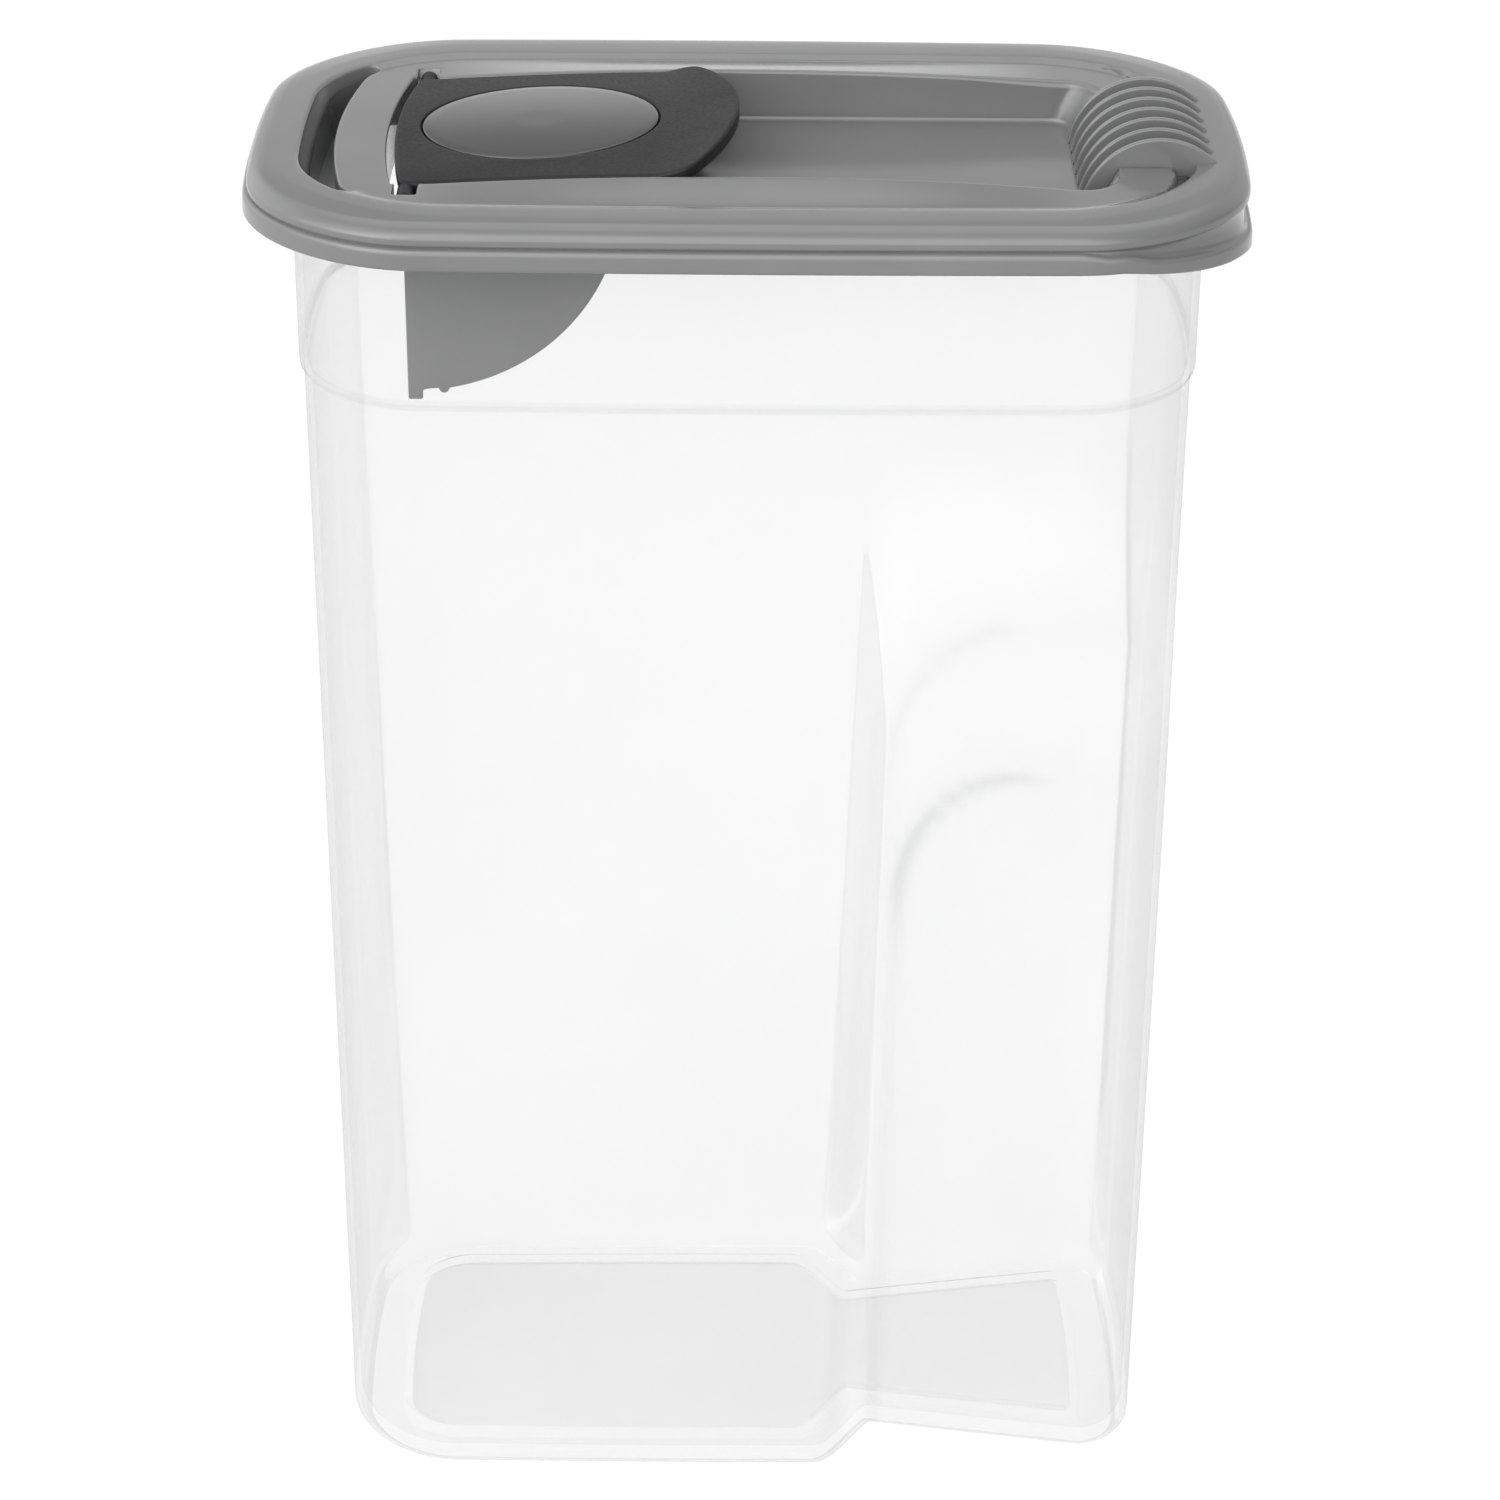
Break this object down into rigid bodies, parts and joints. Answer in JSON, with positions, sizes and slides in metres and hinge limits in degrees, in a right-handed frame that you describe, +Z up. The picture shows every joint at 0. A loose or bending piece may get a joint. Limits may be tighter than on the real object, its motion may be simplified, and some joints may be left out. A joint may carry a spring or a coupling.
{
  "type": "cereal container",
  "caption": "Tall clear cereal container with a pinch grip, a press-on lid with a pull lip and a flip spout with quarter-round cheeks.",
  "frame": {"origin": "Centre of the foot, on the surface that the container stands on", "axes": "+X along the length towards the thumb ribs and the pull lip, +Y to the back, +Z up; the front is -Y and the spout is at -X"},
  "size_m": [0.1934, 0.1148, 0.2953],
  "materials": {
    "clear_body": "clear, smooth",
    "lid_grey": "mid grey, satin",
    "chute_grey": "mid grey, satin",
    "soft_black": "near black, matt",
    "gloss_grey": "dark grey, polished"
  },
  "bodies": {
    "container": {"container": "clear_body"},
    "lid": {"lid": "lid_grey"},
    "spout": {"spout_chute": "chute_grey", "spout_cover": "soft_black", "badge": "gloss_grey"}
  },
  "joints": [
    {"name": "lid_lift", "type": "slide", "parent": "container", "child": "lid", "axis": [0, 0, 1], "range_m": [0, 0.06]},
    {"name": "spout_flip", "type": "hinge", "parent": "lid", "child": "spout", "pos_m": [-0.0642, 0, 0.2873], "axis": [0, -1, 0], "range_deg": [0, 76]}
  ]
}
